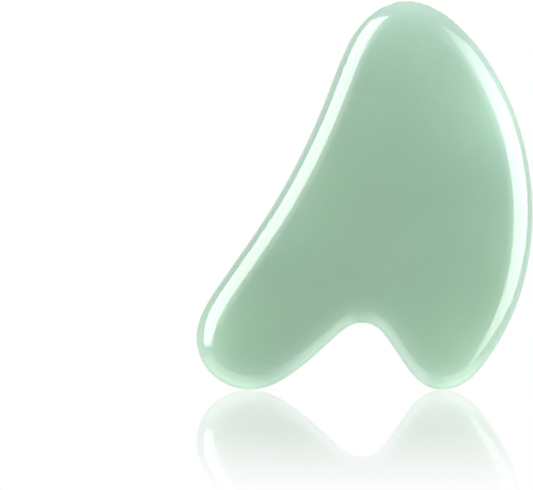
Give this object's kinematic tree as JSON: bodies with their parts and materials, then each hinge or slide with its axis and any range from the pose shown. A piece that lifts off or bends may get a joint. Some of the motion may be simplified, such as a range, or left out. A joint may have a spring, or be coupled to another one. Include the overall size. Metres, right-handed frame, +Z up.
{
  "type": "gua sha scraper",
  "caption": "Hand-held facial massage plate of polished green stone, with a rounded head, a long convex edge, a gently concave edge and a notch between rounded lobes.",
  "frame": {"origin": "on the plane that both lobes touch, midway across the plate and midway between its two flat faces", "axes": "+Z up from the lobes to the rounded head, +Y through the thickness from the front face to the back face, +X to the right as seen from the front, towards the long convex edge"},
  "size_m": [0.0734, 0.006, 0.085],
  "materials": {
    "green_stone": "polished"
  },
  "bodies": {
    "root": {"scraper": "green_stone"}
  },
  "joints": []
}
